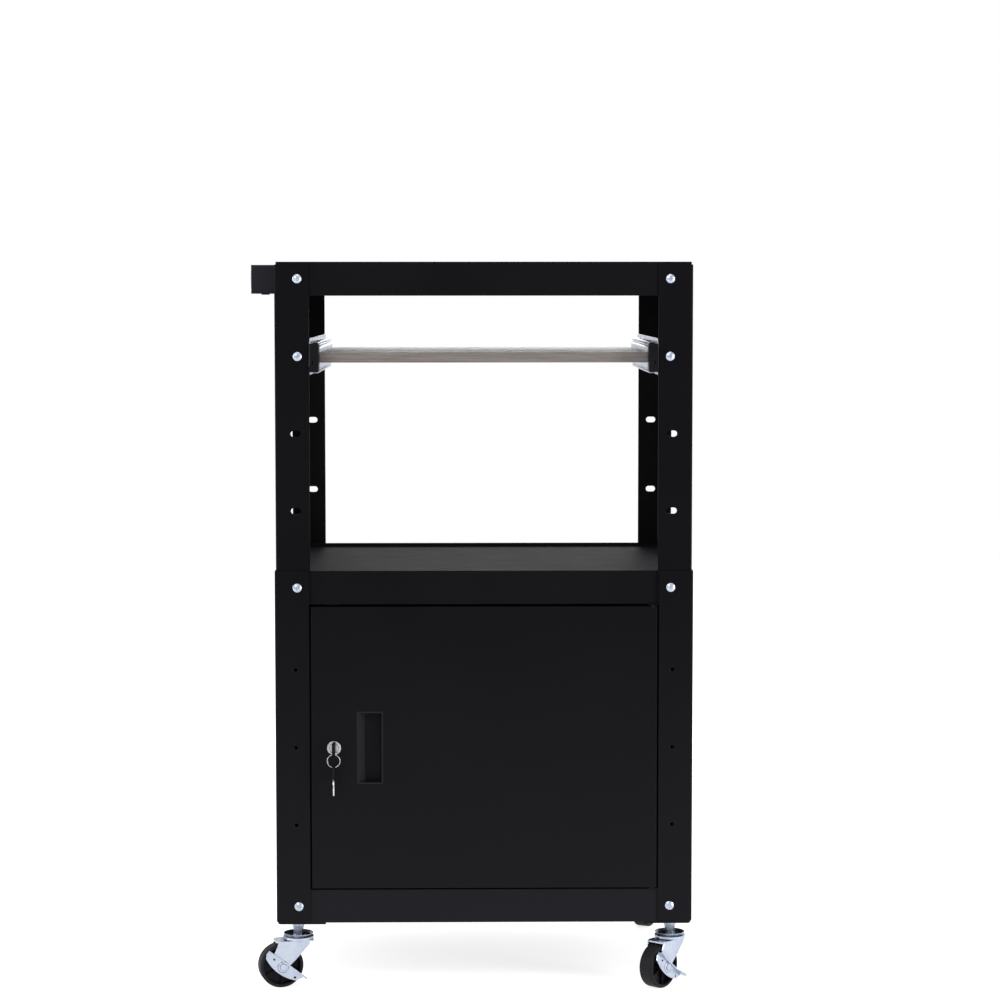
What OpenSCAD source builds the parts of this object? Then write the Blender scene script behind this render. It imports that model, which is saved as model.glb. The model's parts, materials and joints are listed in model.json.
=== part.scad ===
/* [Cart] */
// Width over the outer faces of the lower legs
cart_w = 610; // [500:5:900]
// Depth over the outer faces of the lower legs
cart_d = 457; // [440:1:700]
// Height from the floor to the lip of the top shelf
cart_h = 1067; // [1000:1:1300]
// Height from the floor to the lip of the middle shelf
middle_h = 618.5; // [540:0.5:680]
// Height from the floor to the underside of the feet
foot_h = 97; // [96:0.5:120]

/* [Legs] */
// Width of each lower leg flange
leg_w = 50; // [44:1:60]
// Thickness of the leg steel
leg_t = 2; // [1.5:0.1:2.5]
// Outer radius of the bend along each leg
leg_bend_r = 3.5; // [2.6:0.1:6]
// How far the legs end below the lip of the top shelf
leg_drop = 4; // [0:0.5:8]
// Length of the slotted holes
slot_l = 15; // [10:0.5:20]
// Width of the slotted holes
slot_w = 9; // [6:0.5:10]
// Distance of the slots from the cart's outer face
slot_in = 32; // [27:0.5:36]
// Distance of the bolts from the leg's outer face
bolt_in = 33; // [28:0.5:35]
// Width of a dimple in the lower legs
dimple_d = 10; // [7:0.5:12]
// Width of the hole through a dimple
dimple_hole_d = 5; // [3:0.5:6]
// Distance of the dimples from the leg's outer face
dimple_in = 30; // [26:0.5:36]
// Distance between the dimples
dimple_pitch = 114.5; // [60:0.5:118]
// Size of the cut corner at a leg's foot
leg_corner = 5; // [1:0.5:7]
// Width of a foot plate
foot_plate_w = 70; // [60:1:80]
// Thickness of a foot plate
foot_plate_t = 2.5; // [2:0.1:4]

/* [Shelves] */
// Height of a shelf's edge, from its lower rim to its lip
shelf_h = 49; // [44:0.5:56]
// Height of the lip above the shelf's surface
lip_h = 5.5; // [3:0.5:8]
// Thickness of the folded lip
lip_t = 3; // [2.4:0.1:5]
// Thickness of the shelf steel
shelf_t = 1.5; // [1:0.1:2]
// Width of the rim turned in under a shelf's edge
rim_w = 10; // [7:0.5:12]
// Outer radius of a shelf's corners
shelf_r = 3; // [2.6:0.1:6]

/* [Bolts] */
// Width of a bolt head
bolt_head_d = 13; // [11:0.5:14]
// Height of a bolt head
bolt_head_h = 3.2; // [2.4:0.1:4]
// Thread diameter
bolt_d = 6; // [5:0.5:6.5]
// Length of thread behind the steel
bolt_end = 8; // [7:0.5:10]
// Width of a nut across its corners
nut_d = 11.5; // [10.5:0.5:12.5]
// Thickness of a nut
nut_h = 5; // [4:0.5:6]

/* [Cabinet] */
// Thickness of the side and back panels
panel_t = 1.2; // [0.8:0.1:1.4]
// Gap between the door and the legs
door_gap = 2; // [1.8:0.1:4]
// Gap above the door
door_gap_top = 3.5; // [2.8:0.1:6]
// Gap under the door
door_gap_bottom = 2.5; // [2.4:0.1:5]
// Depth of the door's folded edges
door_d = 18; // [16:0.5:24]
// Thickness of the door steel
door_t = 1.2; // [0.8:0.1:1.6]
// Radius of the door's upright front edges
door_r = 2; // [1.7:0.1:4]
// Distance of the hinge pins from the door's edge and face
hinge_in = 6; // [5.5:0.1:6.5]
// Hinge pin diameter
hinge_pin_d = 5; // [4:0.5:5.5]
// Thickness of the plates that hold the pins
hinge_plate_t = 1.6; // [1.2:0.1:1.8]
// Width of the plates that hold the pins
hinge_plate_w = 15; // [13:0.5:15.5]

/* [Handle] */
// Width of the recessed pull
pull_w = 38.6; // [34:0.2:44]
// Height of the recessed pull
pull_h = 107; // [90:1:120]
// Distance from the cart's centre line to the centre of the pull
pull_x = 167; // [150:1:172]
// Height of the pull and the lock above the door's lower edge
pull_up = 208; // [150:1:260]
// Depth of the recess
pull_d = 15; // [12:0.5:15]
// Height of the pull's rim in front of the door
pull_rim = 0.8; // [0.5:0.1:1.5]

/* [Lock] */
// Distance from the cart's centre line to the lock
lock_x = 219.5; // [210:0.5:222]
// Width of the lock's front ring
lock_face_d = 20.5; // [20:0.5:23]
// Diameter of the lock's body
lock_body_d = 18; // [17:0.5:19]
// Diameter of the turning plug
lock_plug_d = 13; // [12:0.5:14]
// Length of the lock's body behind the door's face
lock_l = 14; // [13:0.5:15]
// Thickness of the cam
cam_t = 1.8; // [1.5:0.1:2]
// Reach of the cam past the lock's axis
cam_l = 42; // [40:0.5:46]
// Diameter of a key's bow
bow_d = 20; // [17:0.5:22]
// Thickness of a key's bow
bow_t = 4.4; // [3.5:0.1:5]
// Thickness of a key's blade
blade_t = 2; // [1.6:0.1:2.2]
// Height of a key's blade
blade_w = 7; // [6:0.5:8]
// Diameter of the key ring, to the middle of its wire
ring_d = 18.6; // [18:0.2:24]
// Thickness of the key ring's wire
ring_wire_d = 1.3; // [1:0.1:1.6]

/* [Tray] */
// Depth of the sliding tray
tray_d = 390; // [340:5:400]
// Thickness of the sliding tray
tray_t = 15; // [13:0.5:18]
// Distance of the tray's front edge behind the legs
tray_in = 28.5; // [24:0.5:40]
// Thickness of the strip along the tray's front edge
tray_band_t = 1; // [0.5:0.1:2]
// Height of the steel brackets that hold the slides
bracket_h = 52.7; // [50:0.1:60]
// Thickness of the brackets
bracket_t = 1.5; // [1.2:0.1:2]
// Width of the brackets' ends, behind the legs
bracket_tab_w = 36; // [30:1:40]
// Height of the brackets' ends, behind the legs
bracket_tab_h = 30; // [24:1:45]
// How far the slides' middle lies below the brackets' bolts
slide_drop = 2; // [0:0.5:3]
// Width of a slide, from bracket to tray
slide_w = 12; // [12:0.1:14]
// Height of a slide's outer member
slide_h = 46; // [44:0.5:48]
// Thickness of a slide's steel
slide_t = 1.2; // [1:0.1:1.3]
// Height of the plastic end pieces
slide_end_h = 41; // [36:0.5:44]
// How far the plastic end pieces stand in front of the legs
slide_end_proud = 0.5; // [0.3:0.1:2]

/* [Power box] */
// Gap between the power box and the rear leg
box_rear_gap = 46; // [6:1:110]
// Height of the power box
box_h = 42; // [38:0.5:48]
// Depth of the power box, out from the shelf
box_out = 39; // [34:0.5:47]
// Thickness of the power box's steel
box_t = 1.2; // [1:0.1:2]
// Number of sockets
sockets = 3; // [1:1:4]
// Width of a socket's insert
socket_w = 34; // [30:1:38]
// Height of a socket's insert
socket_h = 28; // [24:1:30]

/* [Casters] */
// Wheel diameter
wheel_d = 65; // [62:0.5:66]
// Wheel width
wheel_w = 24; // [20:0.5:26]
// Radius of the tread's edges
tread_r = 5; // [2:0.5:7]
// Axle diameter
axle_d = 8; // [6:0.5:8]
// Distance of the axle behind the swivel
trail = 27; // [24:0.5:28]
// Distance of the swivels from the legs' outer faces
stem_in = 30; // [28:0.5:36]
// Thickness of the fork steel
fork_t = 2.2; // [1.8:0.1:2.6]
// Play between a wheel and its fork
wheel_play = 1.5; // [0.8:0.1:2]
// Thickness of a brake lever
lever_t = 2; // [1.5:0.1:2.4]
// Diameter of the swivel cup
cup_d = 44; // [40:1:46]
// Direction of the front left caster, in degrees from the cart's right
turn_front_left = 196; // [0:1:360]
// Direction of the front right caster
turn_front_right = 228; // [0:1:360]
// Direction of the rear left caster
turn_rear_left = 105; // [0:1:360]
// Direction of the rear right caster
turn_rear_right = 245; // [0:1:360]

/* [Hidden] */
$fn = 48;

// Colours
black_coat = [0.10, 0.10, 0.11];
black_plastic = [0.07, 0.07, 0.08];
zinc = [0.80, 0.82, 0.86];
chrome = [0.85, 0.86, 0.88];
tray_top = [0.72, 0.70, 0.71];
tray_edge = [0.45, 0.42, 0.40];
box_grey = [0.17, 0.17, 0.19];

// Clearances: one overrun for every cut, then each fit
over = 1;
run_fit = 0.05;
bolt_fit = 0.2;
seat_gap = 0.3;
part_gap = 0.5;

// Outsides and insides of the lower legs, and insides of the upper legs that stand within them
half_w = cart_w / 2;
half_d = cart_d / 2;
inner_w = half_w - leg_t;
inner_d = half_d - leg_t;
upper_w = inner_w - leg_t;
upper_d = inner_d - leg_t;

// Heights of the three shelves' lower rims and of their bolts
top_rim_z = cart_h - shelf_h;
middle_rim_z = middle_h - shelf_h;
bottom_rim_z = foot_h + foot_plate_t;
bottom_lip_z = bottom_rim_z + shelf_h;
top_bolt_z = top_rim_z + shelf_h / 2;
middle_bolt_z = middle_rim_z + shelf_h / 2;
bottom_bolt_z = bottom_rim_z + shelf_h / 2;

// The upper legs' hole pitch: the top bolt, the tray's bolt, two slots and the middle bolt
leg_pitch = (top_bolt_z - middle_bolt_z) / 4;
tray_z = top_bolt_z - leg_pitch;
slot_zs = [top_bolt_z - 2 * leg_pitch, top_bolt_z - 3 * leg_pitch];
dimple_zs = [for (i = [-1:1]) (middle_bolt_z + bottom_bolt_z) / 2 + i * dimple_pitch];
leg_top_z = cart_h - leg_drop;

// A rounded rectangle about the origin
module round_rect(w, d, r) {
    square([w, d - 2 * r], center = true);
    square([w - 2 * r, d], center = true);
    for (x = [-1, 1], y = [-1, 1])
        translate([x * (w / 2 - r), y * (d / 2 - r)]) circle(r);
}

// A quarter of the plane from the origin, w by d, with its corner at the origin rounded
module round_corner(w, d, r) {
    translate([r, 0]) square([w - r, d]);
    translate([0, r]) square([w, d - r]);
    translate([r, r]) circle(r);
}

// The section of a leg: its corner at the origin, its flanges along +X and +Y, set in by inset
module leg_section(inset) {
    difference() {
        translate([inset, inset]) round_corner(leg_w, leg_w, leg_bend_r);
        translate([inset + leg_t, inset + leg_t])
            round_corner(leg_w + over, leg_w + over, leg_bend_r - leg_t);
    }
}

// A hole along Y, from y0 to y1
module bore_y(x, z, r, y0, y1) {
    translate([x, y1, z]) rotate([90, 0, 0]) cylinder(r = r, h = y1 - y0);
}

// Puts what is drawn at the front left corner of the cart at another corner
module at_corner(right, rear) {
    mirror([right ? 1 : 0, 0, 0]) mirror([0, rear ? 1 : 0, 0])
        translate([-half_w, -half_d, 0]) children();
}

// Bolts: [height, distance from the cart's outer side, set back from its face, steel that the bolt holds]
bolt_rows = [
    [top_bolt_z, bolt_in + leg_t, leg_t, leg_t + shelf_t],
    [tray_z, bolt_in + leg_t, leg_t, leg_t + bracket_t],
    [middle_bolt_z, bolt_in, 0, 2 * leg_t + shelf_t],
    [bottom_bolt_z, bolt_in, 0, leg_t + shelf_t]];

// Upper leg of the front left corner: it stands within the lower leg, down to the middle shelf's rim
module upper_leg() {
    color(black_coat) difference() {
        translate([0, 0, middle_rim_z]) linear_extrude(leg_top_z - middle_rim_z) leg_section(leg_t);
        for (i = [0:2])
            bore_y(bolt_rows[i][1], bolt_rows[i][0], bolt_d / 2 + bolt_fit, 0, 2 * leg_t + over);
        for (z = slot_zs) {
            for (end = [-1, 1])
                bore_y(slot_in + end * (slot_l - slot_w) / 2, z, slot_w / 2, 0, 2 * leg_t + over);
            translate([slot_in - (slot_l - slot_w) / 2, 0, z - slot_w / 2])
                cube([slot_l - slot_w, 2 * leg_t + over, slot_w]);
        }
    }
}

// How much of the leg's thickness a dimple's slope takes
dimple_share = 0.75;

// Lower leg of the front left corner
module lower_leg() {
    corner_cut = leg_corner * sqrt(2);
    color(black_coat) difference() {
        translate([0, 0, foot_h]) linear_extrude(middle_h - foot_h) leg_section(0);
        for (i = [2:3])
            bore_y(bolt_rows[i][1], bolt_rows[i][0], bolt_d / 2 + bolt_fit, -over, leg_t + over);
        for (z = dimple_zs) {
            bore_y(dimple_in, z, dimple_hole_d / 2, -over, leg_t + over);
            translate([dimple_in, 0, z]) rotate([-90, 0, 0])
                cylinder(d1 = dimple_d, d2 = dimple_hole_d, h = leg_t * dimple_share);
        }
        translate([0, leg_w / 2, foot_h]) rotate([0, 45, 0])
            cube([corner_cut, leg_w + 2 * over, corner_cut], center = true);
        translate([leg_w / 2, 0, foot_h]) rotate([45, 0, 0])
            cube([leg_w + 2 * over, corner_cut, corner_cut], center = true);
    }
}

// Foot plates, one inside each leg, level with its lower end
module foot_plates() {
    color(black_coat) for (right = [false, true], rear = [false, true]) at_corner(right, rear)
        difference() {
            translate([leg_t, leg_t, foot_h]) difference() {
                cube([foot_plate_w, foot_plate_w, foot_plate_t]);
                foot_corner_cut();
            }
            translate([stem_in, stem_in, foot_h - over])
                cylinder(r = stem_d / 2 + bolt_fit, h = foot_plate_t + 2 * over);
        }
}
// The plate's outer corner is cut to clear the leg's bend
module foot_corner_cut() {
    side = leg_bend_r * sqrt(2);
    translate([0, 0, foot_plate_t / 2]) rotate([0, 0, 45])
        cube([side, side, foot_plate_t + 2 * over], center = true);
}

// A shelf: folded lip, level surface, straight edge and turned-in rim; w by d over its edges
module shelf(w, d, rim_z, bolt_x) {
    surface_h = shelf_h - lip_h;
    color(black_coat) difference() {
        translate([0, 0, rim_z]) linear_extrude(shelf_h) round_rect(w, d, shelf_r);
        translate([0, 0, rim_z + surface_h]) linear_extrude(lip_h + over)
            round_rect(w - 2 * lip_t, d - 2 * lip_t, shelf_r - shelf_t);
        translate([0, 0, rim_z + shelf_t]) linear_extrude(surface_h - 2 * shelf_t)
            round_rect(w - 2 * shelf_t, d - 2 * shelf_t, shelf_r - shelf_t);
        translate([0, 0, rim_z - over]) linear_extrude(shelf_t + 2 * over)
            square([w - 2 * rim_w, d - 2 * rim_w], center = true);
        for (x = [-bolt_x, bolt_x])
            bore_y(x, rim_z + shelf_h / 2, bolt_d / 2 + bolt_fit, -d, d);
    }
}
module top_shelf() { shelf(2 * upper_w, 2 * upper_d, top_rim_z, half_w - bolt_rows[0][1]); }
module middle_shelf() { shelf(2 * upper_w, 2 * upper_d, middle_rim_z, half_w - bolt_rows[2][1]); }
module bottom_shelf() { shelf(2 * inner_w, 2 * inner_d, bottom_rim_z, half_w - bolt_rows[3][1]); }

// Panels stand on the bottom shelf's lip, inside the legs and clear of the legs' inner bends
panel_z = bottom_lip_z;
panel_h = middle_rim_z - bottom_lip_z;
panel_edge = leg_bend_r - leg_t;
module side_panel() {
    color(black_coat) translate([-inner_w, panel_edge - inner_d, panel_z])
        cube([panel_t, 2 * (inner_d - panel_edge), panel_h]);
}
module side_panel_left() { side_panel(); }
module side_panel_right() { mirror([1, 0, 0]) side_panel(); }
module back_panel() {
    color(black_coat) translate([panel_edge - inner_w, inner_d - panel_t, panel_z])
        cube([2 * (inner_w - panel_edge), panel_t, panel_h]);
}

// Frame bolts and their nuts
bolt_recess_w = 1.3;
bolt_recess_l = 6.5;
bolt_recess_d = 1.8;
bolt_rim_h = 0.8;

// A pan head bolt along +Y, its head in front of the face at the origin
module pan_bolt(length) {
    rotate([-90, 0, 0]) difference() {
        union() {
            cylinder(d = bolt_d, h = length);
            mirror([0, 0, 1]) pan_head();
        }
        for (turn = [0, 90])
            rotate([0, 0, turn]) translate([-bolt_recess_l / 2, -bolt_recess_w / 2, -bolt_head_h - over])
                cube([bolt_recess_l, bolt_recess_w, bolt_recess_d + over]);
    }
}
// A shallow dome on a short rim, standing on the origin
module pan_head() {
    dome_h = bolt_head_h - bolt_rim_h;
    dome_r = (pow(bolt_head_d / 2, 2) + dome_h * dome_h) / (2 * dome_h);
    cylinder(d = bolt_head_d, h = bolt_rim_h);
    intersection() {
        translate([0, 0, bolt_rim_h + dome_h - dome_r]) sphere(dome_r);
        translate([0, 0, bolt_rim_h]) cylinder(d = bolt_head_d, h = dome_h + over);
    }
}
module frame_bolts() {
    color(zinc) for (right = [false, true], rear = [false, true]) at_corner(right, rear)
        for (row = bolt_rows)
            translate([row[1], row[2], row[0]]) pan_bolt(row[3] + bolt_end);
}
module nut(d, h, hole_d) {
    difference() {
        cylinder(d = d, h = h, $fn = 6);
        translate([0, 0, -over]) cylinder(d = hole_d, h = h + 2 * over);
    }
}
module frame_nuts() {
    color(zinc) for (right = [false, true], rear = [false, true]) at_corner(right, rear)
        for (row = bolt_rows)
            translate([row[1], row[2] + row[3], row[0]]) rotate([-90, 0, 0])
                nut(nut_d, nut_h, bolt_d + 2 * run_fit);
}

// Tray brackets: an upright plate from leg to leg, its ends turned out behind the legs
bracket_leg_gap = 0.5;
bracket_out = half_w - leg_t - leg_w - bracket_leg_gap;
bracket_in = bracket_out - bracket_t;
module tray_bracket() {
    color(zinc) translate([-bracket_out, 0, tray_z - bracket_h / 2]) difference() {
        union() {
            translate([0, -upper_d, 0]) cube([bracket_t, 2 * upper_d, bracket_h]);
            for (y = [-upper_d, upper_d - bracket_t])
                translate([bracket_t - bracket_tab_w, y, (bracket_h - bracket_tab_h) / 2])
                    cube([bracket_tab_w, bracket_t, bracket_tab_h]);
        }
        bore_y(bracket_out - half_w + bolt_rows[1][1], bracket_h / 2, bolt_d / 2 + bolt_fit, -half_d, half_d);
    }
}
module tray_bracket_left() { tray_bracket(); }
module tray_bracket_right() { mirror([1, 0, 0]) tray_bracket(); }

// Slides: three nested channels a side, the outer on the bracket and the inner on the tray
tray_w = 2 * (bracket_in - slide_w);
tray_y = -half_d + tray_in;
slide_z = tray_z - slide_drop;
slide_back_y = tray_y + tray_d;
slide_ball_gap = 2.4;
middle_half_h = slide_h / 2 - slide_t - slide_ball_gap;
inner_half_h = middle_half_h - slide_t - slide_ball_gap;
// Depths of the channels' flanges, in shares of the slide's width
outer_flange_share = 0.84;
middle_flange_share = 0.66;
inner_flange_share = 0.55;
middle_web_gap = 0.8;

// A channel with its web's back at x = 0 and its flanges along +X
module channel(half_h, flange_l, y0, y1) {
    translate([0, y0, -half_h]) cube([slide_t, y1 - y0, 2 * half_h]);
    for (z = [-half_h, half_h - slide_t])
        translate([0, y0, z]) cube([flange_l, y1 - y0, slide_t]);
}
module both_sides() {
    for (side = [0, 1]) mirror([side, 0, 0]) children();
}
module slide_outers() {
    color(zinc) both_sides() translate([-bracket_in, 0, slide_z])
        channel(slide_h / 2, slide_w * outer_flange_share, tray_y + part_gap, slide_back_y);
}
module slide_middles() {
    color(zinc) both_sides() translate([-bracket_in + slide_t + middle_web_gap, 0, slide_z])
        channel(middle_half_h, slide_w * middle_flange_share, tray_y + part_gap, slide_back_y);
}
module slide_inners() {
    color(zinc) both_sides() translate([-tray_w / 2, 0, slide_z]) difference() {
        mirror([1, 0, 0]) channel(inner_half_h, slide_w * inner_flange_share, tray_y, slide_back_y);
        for (y = tray_screw_ys)
            translate([-slide_t - over, y, 0]) rotate([0, 90, 0])
                cylinder(r = tray_screw_d / 2 + bolt_fit, h = slide_t + 2 * over);
    }
}

// Black plastic pieces on the front ends of the inner channels; each has a lip before its bracket
slide_end_l = tray_in + slide_end_proud;
slide_end_lip = 2;
slide_end_gap = 0.6;
slide_end_slot_l = 3;
slide_end_slot_w = 1.2;
slide_end_slot_h = 6;
slide_end_slot_up = -7;
module slide_ends() {
    color(black_plastic) both_sides()
        translate([-tray_w / 2, tray_y, slide_z]) difference() {
            union() {
                translate([slide_end_gap - slide_w, -slide_end_l, -slide_end_h / 2])
                    cube([slide_w - slide_end_gap, slide_end_l, slide_end_h]);
                translate([-slide_w - bracket_t, -slide_end_l, -slide_end_h / 2])
                    cube([slide_w + bracket_t, slide_end_lip, slide_end_h]);
            }
            translate([-slide_w + 2 * slide_end_gap + slide_end_slot_w, -slide_end_l - over,
                    slide_end_slot_up - slide_end_slot_h / 2])
                cube([slide_end_slot_w, slide_end_slot_l + over, slide_end_slot_h]);
        }
}

// Tray board with a strip along its front edge
tray_screw_d = 3.8;
tray_screw_l = 14;
tray_screw_head_d = 7;
tray_screw_head_h = 1.4;
tray_screw_shares = [0.12, 0.5, 0.88];
tray_screw_ys = [for (share = tray_screw_shares) tray_y + share * tray_d];
module tray_board() {
    color(tray_top) difference() {
        translate([-tray_w / 2, tray_y + tray_band_t, slide_z - tray_t / 2])
            cube([tray_w, tray_d - tray_band_t, tray_t]);
        for (y = tray_screw_ys)
            translate([-tray_w / 2 - over, y, slide_z]) rotate([0, 90, 0])
                both_ends_bore(tray_w + 2 * over);
    }
}
// Two blind screw holes, one at each end of a line of the given length
module both_ends_bore(length) {
    depth = tray_screw_l + part_gap + over;
    for (z = [0, length - depth]) translate([0, 0, z])
        cylinder(r = tray_screw_d / 2 + run_fit, h = depth);
}
module tray_band() {
    color(tray_edge) translate([-tray_w / 2, tray_y, slide_z - tray_t / 2])
        cube([tray_w, tray_band_t, tray_t]);
}
module tray_screws() {
    color(zinc) both_sides() for (y = tray_screw_ys)
        translate([-tray_w / 2 - slide_t, y, slide_z]) rotate([0, 90, 0]) {
            cylinder(d = tray_screw_d, h = tray_screw_l + slide_t);
            mirror([0, 0, 1]) cylinder(d1 = tray_screw_head_d, d2 = tray_screw_d, h = tray_screw_head_h);
        }
}

// Power box: a folded cover against the top shelf's left edge
box_leg_gap = 6;
box_front_y = -half_d + leg_w + box_leg_gap;
box_l = cart_d - 2 * leg_w - box_leg_gap - box_rear_gap;
box_z = leg_top_z - box_h;
box_x = -upper_w - box_out;
socket_margin = 30;
socket_pitch = (box_l - 2 * socket_margin) / max(sockets - 1, 1);
socket_ys = [for (i = [0:sockets - 1])
    sockets == 1 ? box_front_y + box_l / 2 : box_front_y + socket_margin + i * socket_pitch];
socket_proud = 1.2;
socket_depth = 12;
socket_r = 4;
slot_gap = 12.7;
slot_h = 8;
slot_t = 1.8;
ground_d = 5;
ground_drop = 9;
module power_box() {
    color(box_grey) difference() {
        translate([box_x, box_front_y, box_z]) cube([box_out, box_l, box_h]);
        translate([box_x + box_t, box_front_y + box_t, box_z + box_t])
            cube([box_out, box_l - 2 * box_t, box_h - 2 * box_t]);
        for (y = socket_ys)
            translate([box_x - over, y, box_z + box_h / 2]) rotate([0, 90, 0])
                linear_extrude(box_t + 2 * over)
                    round_rect(socket_h + 2 * bolt_fit, socket_w + 2 * bolt_fit, socket_r);
        translate([box_x + box_out / 2, gland_y, box_z - over])
            cylinder(r = gland_d / 2 + bolt_fit, h = box_t + 2 * over);
        for (y = power_screw_ys)
            translate([box_x - over, y, box_z + box_h / 2]) rotate([0, 90, 0])
                cylinder(r = power_screw_d / 2 + bolt_fit, h = box_t + 2 * over);
    }
}
// A socket's insert, with two blade slots and a round ground hole in its outer face
module power_sockets() {
    color(black_plastic) for (y = socket_ys)
        translate([box_x - socket_proud, y, box_z + box_h / 2]) rotate([0, 90, 0]) difference() {
            linear_extrude(socket_depth) round_rect(socket_h, socket_w, socket_r);
            for (end = [-1, 1])
                translate([-(slot_h + ground_drop) / 2, end * slot_gap / 2 - slot_t / 2, -over])
                    cube([slot_h, slot_t, socket_depth - box_t + over]);
            translate([ground_drop / 2 + ground_d / 4, 0, -over])
                cylinder(d = ground_d, h = socket_depth - box_t + over);
        }
}
power_screw_d = 4;
power_screw_head_d = 7;
power_screw_head_h = 1.6;
power_screw_in = 7;
power_screw_ys = [box_front_y + power_screw_in, box_front_y + box_l - power_screw_in];
module power_screws() {
    color(zinc) for (y = power_screw_ys)
        translate([box_x, y, box_z + box_h / 2]) rotate([0, 90, 0]) {
            cylinder(d = power_screw_d, h = box_out);
            mirror([0, 0, 1]) cylinder(d1 = power_screw_head_d, d2 = power_screw_d, h = power_screw_head_h);
        }
}
// The gland under the box, where a cord would enter
gland_d = 8;
gland_l = 5;
gland_flange_d = 12;
gland_flange_t = 1.5;
gland_in = 22;
gland_y = box_front_y + gland_in;
gland_bore_d = 5;
module cord_gland() {
    color(black_plastic) translate([box_x + box_out / 2, gland_y, box_z]) difference() {
        union() {
            translate([0, 0, -gland_flange_t]) cylinder(d = gland_flange_d, h = gland_flange_t);
            translate([0, 0, -gland_flange_t]) cylinder(d = gland_d, h = gland_l + gland_flange_t);
        }
        translate([0, 0, -gland_flange_t - over]) cylinder(d = gland_bore_d, h = gland_l + 4 * over);
    }
}

// Door: a folded pan, level with the faces of the legs
door_w = 2 * (half_w - leg_w - door_gap);
door_z = bottom_lip_z + door_gap_bottom;
door_h = middle_rim_z - door_gap_top - door_z;
pull_z = door_z + pull_up;
hinge_x = door_w / 2 - hinge_in;
hinge_y = -half_d + hinge_in;
module door_panel() {
    color(black_coat) difference() {
        translate([0, -half_d, door_z]) linear_extrude(door_h) difference() {
            door_outline(door_w, door_d, door_r);
            translate([0, door_t]) door_outline(door_w - 2 * door_t, door_d + over, door_r - door_t);
        }
        door_cuts();
    }
    color(black_coat) for (z = [door_z, door_z + door_h - door_t])
        translate([0, -half_d, z]) difference() {
            translate([0, door_t]) linear_extrude(door_t)
                door_outline(door_w - 2 * door_t, door_d - door_t, door_r - door_t);
            translate([hinge_x, hinge_in, -over])
                cylinder(r = bush_d / 2 + run_fit, h = door_t + 2 * over);
        }
}
// A rectangle w wide, behind y = 0, with its two front corners rounded
module door_outline(w, d, r) {
    translate([-w / 2, r]) square([w, d - r]);
    translate([-w / 2 + r, 0]) square([w - 2 * r, d]);
    for (x = [-1, 1]) translate([x * (w / 2 - r), r]) circle(r);
}
module door_cuts() {
    translate([-pull_x, -half_d - over, pull_z]) rotate([-90, 0, 0]) linear_extrude(door_t + 2 * over)
        square([pull_body_w + 2 * seat_gap, pull_body_h + 2 * seat_gap], center = true);
    bore_y(-lock_x, pull_z, lock_body_d / 2 + run_fit, -half_d - over, -half_d + door_t + over);
    translate([-door_w / 2 - over, cam_tip_y - cam_slot_gap, pull_z - cam_l])
        cube([door_t + 2 * over, cam_t + 2 * cam_slot_gap, cam_l + cam_w]);
}

// Recessed pull: a rim in front of the door and a cup behind it, its left wall sloping
pull_rim_w = 1.8;
pull_wall = 1.2;
pull_r = 3;
pull_body_w = pull_w - 2 * pull_rim_w + pull_wall;
pull_body_h = pull_h - 2 * pull_rim_w + pull_wall;
pull_slope_share = 0.28;
pull_lean_share = 0.06;
module door_pull() {
    mouth_w = pull_body_w - 2 * pull_wall;
    mouth_h = pull_body_h - 2 * pull_wall;
    color(black_plastic) translate([-pull_x, -half_d, pull_z]) difference() {
        union() {
            translate([0, -pull_rim, 0]) rotate([-90, 0, 0]) linear_extrude(pull_rim)
                round_rect(pull_w, pull_h, pull_r);
            translate([-pull_body_w / 2, 0, -pull_body_h / 2]) cube([pull_body_w, pull_d, pull_body_h]);
        }
        translate([0, 0, -mouth_h / 2]) linear_extrude(mouth_h) polygon([
            [-mouth_w / 2, -pull_rim - over], [mouth_w / 2, -pull_rim - over],
            [mouth_w / 2, 0], [mouth_w * (0.5 - pull_lean_share), pull_d - pull_wall],
            [mouth_w * (pull_slope_share - 0.5), pull_d - pull_wall], [-mouth_w / 2, 0]]);
    }
}

// Hinge: a plate above and one below the door, each with a pin, and a bush in the door
bush_d = 8;
bush_flange_d = 11;
bush_flange_t = 0.6;
hinge_plate_d = 22;
pin_reach = 10;
plate_zs = [bottom_lip_z, middle_rim_z - hinge_plate_t];
plate_foot_t = 3;
module hinge_plates() {
    color(black_coat) difference() {
        translate([hinge_x - hinge_plate_w / 2, -half_d + part_gap, 0]) {
            for (z = plate_zs) translate([0, 0, z]) cube([hinge_plate_w, hinge_plate_d, hinge_plate_t]);
            translate([0, hinge_plate_d - plate_foot_t, bottom_lip_z - lip_h])
                cube([hinge_plate_w, plate_foot_t, lip_h + hinge_plate_t]);
        }
        for (z = plate_zs) translate([hinge_x, hinge_y, z - over])
            cylinder(r = hinge_pin_d / 2 + run_fit, h = hinge_plate_t + 2 * over);
    }
}
module hinge_pins() {
    color(zinc) translate([hinge_x, hinge_y, 0]) {
        translate([0, 0, middle_rim_z - pin_reach]) cylinder(d = hinge_pin_d, h = pin_reach);
        translate([0, 0, bottom_lip_z]) cylinder(d = hinge_pin_d, h = pin_reach);
    }
}
module door_bushes() {
    color("white") translate([hinge_x, hinge_y, 0]) {
        translate([0, 0, door_z]) door_bush();
        translate([0, 0, door_z + door_h]) mirror([0, 0, 1]) door_bush();
    }
}
module door_bush() {
    difference() {
        union() {
            cylinder(d = bush_d, h = 2 * door_t);
            translate([0, 0, -bush_flange_t]) cylinder(d = bush_flange_d, h = bush_flange_t);
        }
        translate([0, 0, -bush_flange_t - over])
            cylinder(r = hinge_pin_d / 2 + run_fit, h = 2 * door_t + bush_flange_t + 2 * over);
    }
}
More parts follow.
